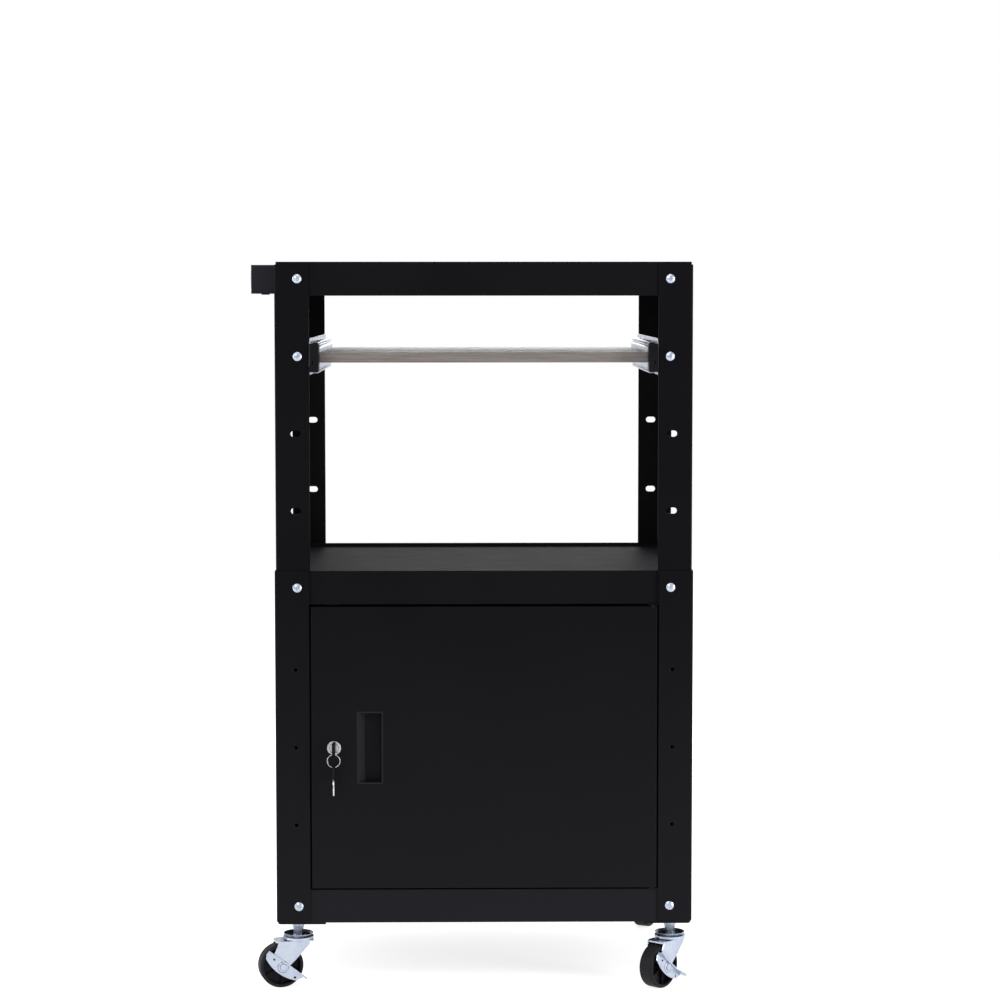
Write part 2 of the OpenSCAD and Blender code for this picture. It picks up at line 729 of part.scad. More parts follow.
// A tab under the middle shelf that the closed door rests against
stop_w = 20;
stop_t = 1.5;
stop_h = 14;
stop_foot = 12;
module door_stop() {
    stop_y = -half_d + door_d + seat_gap;
    color(black_coat) translate([-door_w / 2 + stop_w, stop_y, middle_rim_z]) {
        translate([0, 0, -door_gap_top - stop_h]) cube([stop_w, stop_t, stop_h + door_gap_top]);
        translate([0, -stop_foot, -stop_t]) cube([stop_w, stop_foot + stop_t, stop_t]);
    }
}

// Lock: a body through the door, a nut behind it and a plug that turns in it
lock_proud = 2.2;
lock_y = -half_d;
lock_nut_d = 26;
lock_nut_t = 3;
plug_proud = 0.4;
cam_w = 11;
cam_root_l = 22;
cam_y = lock_y + lock_l + part_gap;
cam_behind = 4;
cam_tip_y = lock_y + leg_t + cam_behind;
cam_hole_w = 6;
cam_slot_gap = 1;
module lock_housing() {
    color(chrome) translate([-lock_x, lock_y, pull_z]) rotate([-90, 0, 0]) difference() {
        union() {
            translate([0, 0, -lock_proud]) cylinder(d = lock_face_d, h = lock_proud);
            cylinder(d = lock_body_d, h = lock_l);
        }
        translate([0, 0, -lock_proud - over])
            cylinder(r = lock_plug_d / 2 + run_fit, h = lock_l + lock_proud + 2 * over);
    }
}
module lock_nut() {
    color(zinc) translate([-lock_x, lock_y + door_t, pull_z]) rotate([-90, 0, 0])
        nut(lock_nut_d, lock_nut_t, lock_body_d + 2 * run_fit);
}
module lock_plug() {
    color(chrome) translate([-lock_x, lock_y, pull_z]) rotate([-90, 0, 0]) difference() {
        union() {
            translate([0, 0, -lock_proud - plug_proud])
                cylinder(d = lock_plug_d, h = lock_l + lock_proud + plug_proud + part_gap);
            translate([-cam_hole_w / 2, -cam_hole_w / 2, lock_l])
                cube([cam_hole_w, cam_hole_w, part_gap + cam_t]);
        }
        translate([-blade_t / 2 - run_fit, -blade_w / 2 - run_fit, -lock_proud - plug_proud - over])
            cube([blade_t + 2 * run_fit, blade_w + 2 * run_fit, key_depth + over]);
        translate([0, 0, lock_l + part_gap + cam_t - cam_screw_l])
            cylinder(d = cam_screw_d + 2 * run_fit, h = cam_screw_l + over);
    }
}
// The cam hangs down at rest; seen from above when turned across, it steps forward to its tip
module lock_cam() {
    color(zinc) translate([-lock_x, 0, pull_z]) rotate([0, -90, 0]) difference() {
        translate([0, 0, -cam_w / 2]) linear_extrude(cam_w) polygon([
            [cam_w / 2, cam_y], [-cam_root_l, cam_y], [-cam_step_l, cam_tip_y], [-cam_l, cam_tip_y],
            [-cam_l, cam_tip_y + cam_t], [-cam_step_l - cam_t, cam_tip_y + cam_t],
            [-cam_root_l, cam_y + cam_t], [cam_w / 2, cam_y + cam_t]]);
        translate([-cam_hole_w / 2 - run_fit, cam_y - over, -cam_hole_w / 2 - run_fit])
            cube([cam_hole_w + 2 * run_fit, cam_t + 2 * over, cam_hole_w + 2 * run_fit]);
    }
}
cam_step_l = cam_root_l + cam_y - cam_tip_y - 2 * cam_t;
cam_screw_d = 4;
cam_screw_l = 8;
cam_screw_head_d = 10;
cam_screw_head_h = 2;
module cam_screw() {
    color(zinc) translate([-lock_x, cam_y + cam_t, pull_z]) rotate([-90, 0, 0]) {
        cylinder(d = cam_screw_head_d, h = cam_screw_head_h);
        mirror([0, 0, 1]) cylinder(d = cam_screw_d, h = cam_screw_l);
    }
}

// Keys: a round bow edge-on to the front, with a hole for the ring, and a blade
key_depth = 6;
key_gap = 3;
bow_hole_d = 4.4;
bow_rim = 1.3;
key_y = lock_y - lock_proud - plug_proud - key_gap - bow_d / 2;
key_hole_z = pull_z - bow_d / 2 + bow_rim + bow_hole_d / 2;
// How far the ring's wire falls away across the thickness of the bow
ring_sag = ring_d / 2 - sqrt(pow(ring_d / 2, 2) - pow(bow_t / 2, 2));
ring_top_z = key_hole_z - bow_hole_d / 2 + seat_gap + ring_wire_d / 2 + ring_sag;
ring_bottom_z = ring_top_z - ring_d;
spare_hole_z = ring_bottom_z + ring_wire_d / 2 + ring_sag + seat_gap - bow_hole_d / 2;
spare_z = spare_hole_z + bow_hole_d / 2 + bow_rim - bow_d / 2;
spare_blade_l = 27;
module bow() {
    translate([-bow_t / 2, 0, 0]) rotate([0, 90, 0]) cylinder(d = bow_d, h = bow_t);
}
module key() {
    color(black_plastic) translate([-lock_x, key_y, 0]) difference() {
        translate([0, 0, pull_z]) bow();
        translate([-bow_t, 0, key_hole_z]) rotate([0, 90, 0]) cylinder(d = bow_hole_d, h = 2 * bow_t);
    }
    color(zinc) translate([-lock_x - blade_t / 2, key_y + bow_d / 2 - bow_rim, pull_z - blade_w / 2])
        cube([blade_t, bow_rim + key_gap + key_depth - run_fit, blade_w]);
}
module key_ring() {
    color(chrome) translate([-lock_x, key_y, (ring_top_z + ring_bottom_z) / 2]) rotate([90, 0, 0])
        rotate_extrude() translate([ring_d / 2, 0]) circle(d = ring_wire_d, $fn = 24);
}
module spare_key() {
    color(black_plastic) translate([-lock_x, key_y, 0]) difference() {
        translate([0, 0, spare_z]) bow();
        translate([-bow_t, 0, spare_hole_z]) rotate([0, 90, 0]) cylinder(d = bow_hole_d, h = 2 * bow_t);
    }
    color(zinc) translate([-lock_x - blade_t / 2, key_y - blade_w / 2, spare_z - bow_d / 2 + bow_rim])
        mirror([0, 0, 1]) cube([blade_t, blade_w, spare_blade_l]);
}

// Casters, each drawn with its swivel at the origin and its wheel towards +X
stem_d = 10;
stem_up = 18;
collar_top_d = 22;
collar_bottom_d = 15.4;
collar_h = 12;
dish_drop = 18;
dish_h = 4.3;
dish_t = 1.4;
dish_floor_d = 39;
kingpin_d = 10;
kingpin_head_d = 16;
kingpin_head_h = 3;
race_d = 45;
race_h = 3.2;
race_neck_d = 38;
race_neck_h = 1.3;
axle_z = wheel_d / 2;
fork_half_w = wheel_w / 2 + wheel_play + fork_t;
dish_z = foot_h - dish_drop - dish_h;
race_z = dish_z - part_gap - race_h;
fork_top_z = race_z - race_neck_h;
fork_back = 21;
fork_front = 36;
fork_r = 7;
cheek_r = 10;
// The cheek's outline: across as shares of the trail, up as shares of the height from axle to fork top
cheek_rear_shares = [[-0.52, 1], [-0.5, 0.84], [-0.33, 0.72], [-0.08, 0.52], [0.25, 0.27], [0.64, 0]];
cheek_front_shares = [[1.36, 0], [1.46, 0.26], [1.46, 0.56], [1.2, 0.96], [1.07, 1]];
axle_head_d = 13;
axle_head_h = 1.8;
lever_rivet_d = 9.6;
lever_gap = 0.3;
turns = [turn_front_left, turn_front_right, turn_rear_left, turn_rear_right];

// Puts what is drawn about a swivel at corner i: front left, front right, rear left, rear right
module at_stem(i) {
    x = (i % 2 == 0 ? -1 : 1) * (half_w - stem_in);
    y = (i < 2 ? -1 : 1) * (half_d - stem_in);
    translate([x, y, 0]) children();
}
module at_caster(i) {
    at_stem(i) rotate([0, 0, turns[i]]) children();
}
module caster_stems() {
    color(zinc) for (i = [0:3]) at_stem(i) {
        translate([0, 0, foot_h - collar_h]) cylinder(d1 = collar_bottom_d, d2 = collar_top_d, h = collar_h);
        translate([0, 0, foot_h]) cylinder(d = stem_d, h = stem_up);
        translate([0, 0, dish_z]) cylinder(d = collar_bottom_d, h = dish_drop + dish_h - collar_h);
        swivel_dish();
        translate([0, 0, fork_top_z - fork_t - kingpin_head_h - seat_gap])
            cylinder(d = kingpin_d, h = dish_z - fork_top_z + fork_t + kingpin_head_h + seat_gap);
        translate([0, 0, fork_top_z - fork_t - kingpin_head_h - seat_gap])
            cylinder(d = kingpin_head_d, h = kingpin_head_h);
    }
}
// The dish that covers the swivel's balls, open at the top
module swivel_dish() {
    translate([0, 0, dish_z]) rotate_extrude() polygon([
        [0, 0], [dish_floor_d / 2, 0], [cup_d / 2, dish_h], [cup_d / 2 - dish_t, dish_h],
        [dish_floor_d / 2 - dish_t, dish_t], [0, dish_t]]);
}
module caster_nuts() {
    color(zinc) for (i = [0:3]) at_stem(i) translate([0, 0, foot_h + foot_plate_t])
        nut(caster_nut_d, caster_nut_h, stem_d + 2 * run_fit);
}
caster_nut_d = 18.5;
caster_nut_h = 8;

// A fork's cheek in its own plane: across, then up
function cheek_points(shares) =
    [for (share = shares) [share[0] * trail, axle_z + share[1] * (fork_top_z - axle_z)]];
module cheek() {
    polygon(concat(cheek_points(cheek_rear_shares), cheek_points(cheek_front_shares)));
    translate([trail, axle_z]) circle(cheek_r);
}
module fork() {
    color(zinc) difference() {
        union() {
            translate([(fork_front - fork_back) / 2, 0, fork_top_z - fork_t]) linear_extrude(fork_t)
                round_rect(fork_back + fork_front, 2 * fork_half_w, fork_r);
            for (y = [fork_half_w, fork_t - fork_half_w])
                translate([0, y, 0]) rotate([90, 0, 0]) linear_extrude(fork_t) cheek();
            translate([0, 0, race_z]) cylinder(d = race_d, h = race_h);
            translate([0, 0, fork_top_z]) cylinder(d1 = race_neck_d, d2 = race_d - race_neck_h, h = race_neck_h);
        }
        translate([0, 0, fork_top_z - fork_t - over])
            cylinder(r = kingpin_d / 2 + run_fit, h = fork_t + race_neck_h + race_h + 2 * over);
        bore_y(trail, axle_z, axle_d / 2 + run_fit, -fork_half_w - over, fork_half_w + over);
    }
}
// The axle runs past the cheek by reach, on the brake lever's side
module axle(reach) {
    head_d = reach > 0 ? lever_rivet_d : axle_head_d;
    color(zinc) {
        bore_y(trail, axle_z, axle_d / 2, -fork_half_w, fork_half_w + reach);
        bore_y(trail, axle_z, head_d / 2, fork_half_w + reach, fork_half_w + reach + axle_head_h);
        bore_y(trail, axle_z, axle_head_d / 2, -fork_half_w - axle_head_h, -fork_half_w);
    }
}
braked_reach = lever_t + 2 * lever_gap;

// Wheel: a hollow hub with ribs between its rim and its boss
hub_rim_share = 0.78;
hub_boss_share = 0.26;
hub_web_share = 0.25;
rib_t = 2.4;
rib_share = 0.8;
ribs = 6;
module wheel() {
    r = wheel_d / 2;
    rim_r = r * hub_rim_share;
    boss_r = r * hub_boss_share;
    web_t = wheel_w * hub_web_share;
    color(black_plastic) translate([trail, 0, axle_z]) rotate([90, 0, 0]) difference() {
        union() {
            rotate_extrude() difference() {
                translate([0, -wheel_w / 2]) union() {
                    square([r - tread_r, wheel_w]);
                    translate([0, tread_r]) square([r, wheel_w - 2 * tread_r]);
                    for (y = [tread_r, wheel_w - tread_r]) translate([r - tread_r, y]) circle(tread_r);
                }
                for (side = [-1, 1])
                    translate([boss_r, side > 0 ? web_t / 2 : -wheel_w / 2 - over])
                        square([rim_r - boss_r, (wheel_w - web_t) / 2 + over]);
                translate([-over, -wheel_w / 2 - over])
                    square([over + axle_d / 2 + run_fit, wheel_w + 2 * over]);
            }
            for (i = [0:ribs - 1]) rotate([0, 0, i * 360 / ribs])
                translate([boss_r - over, -rib_t / 2, -wheel_w * rib_share / 2])
                    cube([rim_r - boss_r + 2 * over, rib_t, wheel_w * rib_share]);
        }
    }
}

// Brake lever: a leaf across the axle, leaning by lever_lean, with two toe pads along its upper edge
lever_lean = 38;
lever_back = 31;
lever_front = 32;
lever_high = 7.8;
lever_bow_r = 66;
lever_low = 11.4;
lever_hole_d = 3.4;
lever_corner = 3;
lever_hole_places = [[18, 1.5], [-24, -2.5]];
pad_back = 38;
pad_back_l = 22;
pad_back_w = 12.5;
pad_front_l = 15;
pad_front_w = 8;
pad_strip_w = 4.5;
pad_corner = 3;
// Points of an arc about a centre, from one angle to another
arc_steps = 14;
function arc(centre, r, from, to) =
    [for (i = [0:arc_steps]) let (a = from + (to - from) * i / arc_steps) centre + r * [cos(a), sin(a)]];
// The leaf's outline: along the lever, then across it
bow_from = 270 - asin((lever_back - lever_corner) / lever_bow_r);
bow_to = 270 + asin((lever_front - lever_corner) / lever_bow_r);
leaf_points = concat(
    arc([0, lever_bow_r - lever_low], lever_bow_r, bow_from, bow_to),
    [[lever_front, lever_corner / 2], [lever_front, lever_high - lever_corner],
        [lever_front - lever_corner, lever_high],
        [-lever_back, lever_high], [-lever_back - lever_corner, lever_high / 2]]);
// The pads' outline: along the lever, then out from the leaf
pad_points = [
    [-pad_back + pad_corner, 0], [-pad_back, pad_corner], [-pad_back, pad_back_w - pad_corner],
    [-pad_back + pad_corner, pad_back_w], [-pad_back + pad_back_l / 2, pad_back_w],
    [-pad_back + pad_back_l, pad_strip_w], [lever_front - pad_front_l, pad_strip_w],
    [lever_front - pad_front_l / 2, pad_front_w], [lever_front - pad_corner, pad_front_w],
    [lever_front, pad_front_w - pad_corner], [lever_front, 0]];
module brake_lever() {
    y0 = fork_half_w + lever_gap;
    color(zinc) translate([trail, y0, axle_z]) rotate([0, -lever_lean, 0]) difference() {
        union() {
            translate([0, lever_t, 0]) rotate([90, 0, 0]) linear_extrude(lever_t) polygon(leaf_points);
            translate([0, 0, lever_high - lever_t]) linear_extrude(lever_t) polygon(pad_points);
        }
        rotate([-90, 0, 0]) translate([0, 0, -over]) cylinder(r = axle_d / 2 + run_fit, h = lever_t + 2 * over);
        for (place = lever_hole_places)
            bore_y(place[0], place[1], lever_hole_d / 2, -over, lever_t + over);
    }
}

// The reach of a wheel from its swivel, along a direction and across
function reach_x(turn, side) = side * (trail * cos(turn))
    + (wheel_d / 2 - tread_r) * abs(cos(turn)) + (wheel_w / 2 - tread_r) * abs(sin(turn)) + tread_r;
function reach_y(turn, side) = side * (trail * sin(turn))
    + (wheel_d / 2 - tread_r) * abs(sin(turn)) + (wheel_w / 2 - tread_r) * abs(cos(turn)) + tread_r;
stem_x = half_w - stem_in;
stem_y = half_d - stem_in;
reach_left = max(-box_x + max(socket_proud, power_screw_head_h),
    stem_x + reach_x(turn_front_left, -1), stem_x + reach_x(turn_rear_left, -1));
reach_right = max(half_w, stem_x + reach_x(turn_front_right, 1), stem_x + reach_x(turn_rear_right, 1));
reach_front = max(bow_d / 2 - key_y, stem_y + reach_y(turn_front_left, -1),
    stem_y + reach_y(turn_front_right, -1));
reach_rear = max(half_d + bolt_head_h,
    stem_y + reach_y(turn_rear_left, 1), stem_y + reach_y(turn_rear_right, 1));

// Moves the cart so that the middle of its footprint is at the origin
module centred() {
    translate([(reach_left - reach_right) / 2, (reach_front - reach_rear) / 2, 0]) children();
}

centred() at_corner(false, false) upper_leg();  // upper_leg_front_left
centred() at_corner(true, false) upper_leg();  // upper_leg_front_right
centred() at_corner(false, true) upper_leg();  // upper_leg_rear_left
centred() at_corner(true, true) upper_leg();  // upper_leg_rear_right
centred() at_corner(false, false) lower_leg();  // lower_leg_front_left
centred() at_corner(true, false) lower_leg();  // lower_leg_front_right
centred() at_corner(false, true) lower_leg();  // lower_leg_rear_left
centred() at_corner(true, true) lower_leg();  // lower_leg_rear_right
centred() top_shelf();
centred() middle_shelf();
centred() bottom_shelf();
centred() side_panel_left();
centred() side_panel_right();
centred() back_panel();
centred() foot_plates();
centred() frame_bolts();
centred() frame_nuts();
centred() tray_bracket_left();
centred() tray_bracket_right();
centred() slide_outers();
centred() power_box();
centred() power_sockets();
centred() power_screws();
centred() cord_gland();
centred() hinge_plates();
centred() hinge_pins();
centred() door_stop();
centred() caster_stems();
centred() caster_nuts();
centred() door_panel();
centred() door_pull();
centred() lock_housing();
centred() lock_nut();
centred() door_bushes();
centred() lock_plug();
centred() lock_cam();
centred() cam_screw();
centred() key();
centred() key_ring();
centred() spare_key();
centred() slide_middles();
centred() tray_board();
centred() tray_band();
centred() slide_inners();
centred() slide_ends();
centred() tray_screws();
centred() at_caster(0) fork();  // fork_front_left
centred() at_caster(1) fork();  // fork_front_right
centred() at_caster(2) fork();  // fork_rear_left
centred() at_caster(3) fork();  // fork_rear_right
centred() at_caster(0) axle(braked_reach);  // axle_front_left
centred() at_caster(1) axle(braked_reach);  // axle_front_right
centred() at_caster(2) axle(0);  // axle_rear_left
centred() at_caster(3) axle(0);  // axle_rear_right
centred() at_caster(0) wheel();  // wheel_front_left
centred() at_caster(1) wheel();  // wheel_front_right
centred() at_caster(2) wheel();  // wheel_rear_left
centred() at_caster(3) wheel();  // wheel_rear_right
centred() at_caster(0) brake_lever();  // brake_lever_left
centred() at_caster(1) brake_lever();  // brake_lever_right
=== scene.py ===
"""A steel audio-visual cart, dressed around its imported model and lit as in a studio."""
import json
import math

import bmesh
import bpy
from mathutils import Matrix, Vector


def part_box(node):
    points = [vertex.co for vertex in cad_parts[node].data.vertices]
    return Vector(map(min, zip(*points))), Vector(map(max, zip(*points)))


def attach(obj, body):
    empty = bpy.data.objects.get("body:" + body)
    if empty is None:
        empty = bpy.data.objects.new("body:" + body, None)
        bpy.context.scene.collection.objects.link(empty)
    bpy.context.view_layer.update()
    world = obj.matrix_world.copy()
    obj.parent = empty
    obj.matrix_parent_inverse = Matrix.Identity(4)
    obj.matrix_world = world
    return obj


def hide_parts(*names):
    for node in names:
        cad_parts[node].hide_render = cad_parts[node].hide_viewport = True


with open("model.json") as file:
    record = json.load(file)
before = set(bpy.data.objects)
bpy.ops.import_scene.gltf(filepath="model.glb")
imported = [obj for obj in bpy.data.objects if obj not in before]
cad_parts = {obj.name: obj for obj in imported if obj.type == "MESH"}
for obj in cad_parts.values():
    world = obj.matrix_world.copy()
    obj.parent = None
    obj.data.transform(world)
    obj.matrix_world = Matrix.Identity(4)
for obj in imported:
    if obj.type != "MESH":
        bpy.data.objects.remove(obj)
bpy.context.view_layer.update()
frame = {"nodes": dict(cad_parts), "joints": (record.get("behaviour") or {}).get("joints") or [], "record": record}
MM = 0.001
NODES = frame["nodes"]
JOINTS = {joint["name"]: joint for joint in frame["joints"]}
CORNERS = ["front_left", "front_right", "rear_left", "rear_right"]

# The camera, fitted to the photograph: its place from the middle of the cart's legs, and its aim
PHOTO_WIDTH_PX = 1000
PHOTO_FOCAL_PX = 2718.2
CAMERA_FROM_LEGS_MM = (-30.1, -4165.5, 1018.4)
CAMERA_YAW = math.radians(0.775)
CAMERA_PITCH = math.radians(-4.304)
CAMERA_ROLL = math.radians(-0.022)


def legs_middle():
    """The middle of the four lower legs, on the floor."""
    low_left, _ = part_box("lower_leg_front_left")
    _, high_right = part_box("lower_leg_rear_right")
    return Vector(((low_left.x + high_right.x) / 2, (low_left.y + high_right.y) / 2, 0))


def make_camera():
    data = bpy.data.cameras.new("camera")
    data.sensor_width = 36
    data.lens = data.sensor_width * PHOTO_FOCAL_PX / PHOTO_WIDTH_PX
    data.clip_end = 50
    camera = bpy.data.objects.new("camera", data)
    bpy.context.scene.collection.objects.link(camera)
    forward = Vector((math.sin(CAMERA_YAW) * math.cos(CAMERA_PITCH),
                      math.cos(CAMERA_YAW) * math.cos(CAMERA_PITCH), math.sin(CAMERA_PITCH)))
    level = Vector((math.cos(CAMERA_YAW), -math.sin(CAMERA_YAW), 0))
    raised = level.cross(forward)
    right = math.cos(CAMERA_ROLL) * level + math.sin(CAMERA_ROLL) * raised
    up = right.cross(forward)
    turn = Matrix((right, up, -forward)).transposed().to_4x4()
    place = legs_middle() + Vector(CAMERA_FROM_LEGS_MM) * MM
    camera.matrix_world = Matrix.Translation(place) @ turn
    bpy.context.scene.camera = camera


class Shader:
    """A material's node tree, with short calls for what the materials here need."""

    def __init__(self, name):
        self.material = bpy.data.materials.new(name)
        self.material.use_nodes = True
        self.tree = self.material.node_tree
        self.surface = self.tree.nodes["Principled BSDF"]
        self.place = self.add("ShaderNodeTexCoord").outputs["Object"]

    def add(self, kind, **values):
        node = self.tree.nodes.new(kind)
        for name, value in values.items():
            setattr(node, name, value)
        return node

    def link(self, output, socket):
        self.tree.links.new(output, socket)

    def set(self, **values):
        for name, value in values.items():
            self.surface.inputs[name.replace("_", " ")].default_value = value

    def stretched(self, scale):
        """The place, scaled along each axis."""
        mapping = self.add("ShaderNodeMapping")
        mapping.inputs["Scale"].default_value = scale
        self.link(self.place, mapping.inputs["Vector"])
        return mapping.outputs["Vector"]

    def noise(self, scale, detail=2, rough=0.5, stretch=None, distort=0):
        node = self.add("ShaderNodeTexNoise")
        node.inputs["Scale"].default_value = scale
        node.inputs["Detail"].default_value = detail
        node.inputs["Roughness"].default_value = rough
        node.inputs["Distortion"].default_value = distort
        self.link(self.stretched(stretch) if stretch else self.place, node.inputs["Vector"])
        return node.outputs["Fac"]

    def ramp(self, value, stops):
        node = self.add("ShaderNodeValToRGB")
        elements = node.color_ramp.elements
        while len(elements) < len(stops):
            elements.new(0.5)
        for element, (position, colour) in zip(elements, stops):
            element.position = position
            element.color = (*colour, 1)
        self.link(value, node.inputs["Fac"])
        return node.outputs["Color"]

    def spread(self, value, low, high, low_in=0.3, high_in=0.7):
        """Maps a noise value to a range."""
        node = self.add("ShaderNodeMapRange")
        ends = {"From Min": low_in, "From Max": high_in, "To Min": low, "To Max": high}
        for name, number in ends.items():
            node.inputs[name].default_value = number
        self.link(value, node.inputs["Value"])
        return node.outputs["Result"]

    def mix(self, factor, first, second):
        """A blend of two colours by a factor, each of them an output or plain numbers."""
        node = self.add("ShaderNodeMix", data_type="RGBA")
        for socket, value in ((node.inputs[0], factor), (node.inputs[6], first), (node.inputs[7], second)):
            if isinstance(value, (tuple, float, int)):
                socket.default_value = (*value, 1) if isinstance(value, tuple) else value
            else:
                self.link(value, socket)
        return node.outputs[2]

    def times(self, first, second):
        node = self.add("ShaderNodeMath", operation="MULTIPLY")
        self.link(first, node.inputs[0])
        self.link(second, node.inputs[1])
        return node.outputs[0]

    def colour(self, output):
        self.link(output, self.surface.inputs["Base Color"])

    def roughness(self, output):
        self.link(output, self.surface.inputs["Roughness"])

    def bump(self, height, strength, depth, after=None):
        node = self.add("ShaderNodeBump")
        node.inputs["Strength"].default_value = strength
        node.inputs["Distance"].default_value = depth
        self.link(height, node.inputs["Height"])
        if after:
            self.link(after, node.inputs["Normal"])
        self.link(node.outputs["Normal"], self.surface.inputs["Normal"])
        return node.outputs["Normal"]


# The heights in metres between which the painted light from below fades out on the coat
PAINTED_LIGHT_LOW = 0.08
PAINTED_LIGHT_HIGH = 0.62
# How many times lighter than the coat the painted light low on the cart, the dust specks on level faces and the
# scuffs are
PAINTED_LIGHT_TIMES = 2.2
SPECKS_TIMES = 4
SCUFFS_TIMES = 3
# The scuffs run upright
SCUFF_STRETCH = (1, 1, 0.12)


def lighter(colour, times):
    """A colour made lighter by a number of times."""
    return tuple(times * part for part in colour)


def powder_coat(name, dark, light, gloss, shine=0.035):
    """Satin powder coat: fine orange peel, slow changes of tone, thin scuffs, faint dust on level faces, and
    painted light from below that makes it lighter low on the cart."""
    shader = Shader(name)
    tone = shader.ramp(shader.noise(5, 3), [(0.35, dark), (0.7, light)])
    facing = shader.add("ShaderNodeSeparateXYZ")
    shader.link(shader.add("ShaderNodeNewGeometry").outputs["Normal"], facing.inputs["Vector"])
    upward = shader.spread(facing.outputs["Z"], 0, 0.22, 0.6, 1)
    specks = shader.spread(shader.noise(260, 4, 0.7), 0, 1, 0.45, 0.8)
    dusty = shader.mix(shader.times(upward, specks), tone, lighter(light, SPECKS_TIMES))
    thin_marks = shader.noise(90, 5, 0.75, SCUFF_STRETCH, 1.5)
    scuffs = shader.times(shader.spread(thin_marks, 0, 0.35, 0.66, 0.8),
                          shader.spread(shader.noise(9, 2), 0, 1, 0.5, 0.65))
    scuffed = shader.mix(scuffs, dusty, lighter(light, SCUFFS_TIMES))
    height = shader.add("ShaderNodeSeparateXYZ")
    shader.link(shader.add("ShaderNodeNewGeometry").outputs["Position"], height.inputs["Vector"])
    # Painted light: the coat is made lighter towards the bottom of the cart, in place of a low lamp's light
    low = shader.spread(height.outputs["Z"], 1, 0, PAINTED_LIGHT_LOW, PAINTED_LIGHT_HIGH)
    shader.colour(shader.mix(low, scuffed, lighter(light, PAINTED_LIGHT_TIMES)))
    shader.roughness(shader.spread(shader.noise(30, 4), gloss - 0.015, gloss + 0.025))
    peel = shader.bump(shader.noise(700, 2), 0.18, 0.0004)
    shader.bump(shader.noise(60, 1), 0.025, 0.002, peel)
    shader.set(Specular_IOR_Level=shine)
    return shader.material


def zinc_plate(name):
    """Bright zinc plate: a bluish sheen with clouds of a warmer tone and fine scratches."""
    shader = Shader(name)
    tones = [(0.3, (0.33, 0.375, 0.45)), (0.55, (0.41, 0.45, 0.53)), (0.8, (0.46, 0.48, 0.52))]
    shader.colour(shader.ramp(shader.noise(35, 3, 0.6, distort=0.4), tones))
    shader.roughness(shader.spread(shader.noise(120, 4, 0.6), 0.22, 0.36))
    shader.bump(shader.noise(400, 3, stretch=(1, 1, 0.15)), 0.12, 0.0003)
    shader.set(Metallic=1.0)
    return shader.material


def chrome_plate(name, dark, light):
    """Nickel-bright plate with faint buffing marks."""
    shader = Shader(name)
    shader.colour(shader.ramp(shader.noise(60, 2), [(0.3, dark), (0.7, light)]))
    shader.roughness(shader.spread(shader.noise(300, 4), 0.16, 0.28))
    shader.bump(shader.noise(900, 2), 0.05, 0.0002)
    shader.set(Metallic=1.0)
    return shader.material


def moulded(name, dark, light, gloss, grain=900, shine=0.2):
    """Moulded plastic with a fine spark-eroded grain."""
    shader = Shader(name)
    shader.colour(shader.ramp(shader.noise(25, 3), [(0.3, dark), (0.7, light)]))
    shader.roughness(shader.spread(shader.noise(200, 3), gloss - 0.06, gloss + 0.08))
    shader.bump(shader.noise(grain, 3), 0.15, 0.0003)
    shader.set(Specular_IOR_Level=shine)
    return shader.material


# The pull's rim that carries a painted highlight, as a share of its depth, and the depth in millimetres over which
# that painted highlight ends
PULL_HIGHLIGHT_RIM = 0.06
PULL_HIGHLIGHT_FADE = 0.5


def recess_plastic(name):
    """The pull's plastic, with a painted highlight on its rim and on its sloped side, which faces right, and its
    plain dark tone on its floor.
    """
    shader = Shader(name)
    own = NODES["door_pull"].matrix_world.inverted()
    front, back = [(own @ corner).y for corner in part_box("door_pull")]
    facing = shader.add("ShaderNodeSeparateXYZ")
    shader.link(shader.add("ShaderNodeTexCoord").outputs["Normal"], facing.inputs["Vector"])
    # Painted highlight on the sloped side, by how far its faces turn to the right
    lit_side_mask = shader.spread(facing.outputs["X"], 0, 1, 0.15, 0.5)
    place = shader.add("ShaderNodeSeparateXYZ")
    shader.link(shader.place, place.inputs["Vector"])
    rim_back = front + PULL_HIGHLIGHT_RIM * (back - front)
    # Painted highlight on the rim, from the pull's front back to the rim's depth
    rim = shader.spread(place.outputs["Y"], 1, 0, rim_back, rim_back + PULL_HIGHLIGHT_FADE * MM)
    tones = [(0.3, (0.0046, 0.0044, 0.0052)), (0.7, (0.0070, 0.0067, 0.0078))]
    with_lit_side = shader.mix(lit_side_mask, shader.ramp(shader.noise(25, 3), tones), (0.023, 0.022, 0.026))
    shader.colour(shader.mix(rim, with_lit_side, (0.017, 0.0165, 0.020)))
    shader.roughness(shader.spread(shader.noise(200, 3), 0.46, 0.58))
    shader.bump(shader.noise(700, 3), 0.15, 0.0003)
    shader.set(Specular_IOR_Level=0.06)
    return shader.material


def worn_tread(name):
    """The wheels' running face: greyer than the hub, and scuffed."""
    shader = Shader(name)
    marks = shader.noise(160, 6, 0.7, distort=0.8)
    shader.colour(shader.ramp(marks, [(0.3, (0.008, 0.007, 0.009)), (0.55, (0.014, 0.013, 0.016)),
                                      (0.8, (0.026, 0.024, 0.029))]))
    shader.roughness(shader.spread(marks, 0.5, 0.68))
    shader.bump(marks, 0.25, 0.0004)
    shader.set(Specular_IOR_Level=0.12)
    return shader.material


def tray_laminate(name):
    """Pale matt laminate with a faint linen figure."""
    shader = Shader(name)
    streaks = shader.noise(40, 5, 0.65, stretch=(0.5, 6, 6), distort=0.2)
    shader.colour(shader.ramp(streaks, [(0.3, (0.72, 0.69, 0.71)), (0.7, (0.82, 0.79, 0.81))]))
    shader.roughness(shader.spread(shader.noise(80, 3), 0.42, 0.55))
    shader.bump(shader.noise(900, 2), 0.08, 0.0002)
    return shader.material


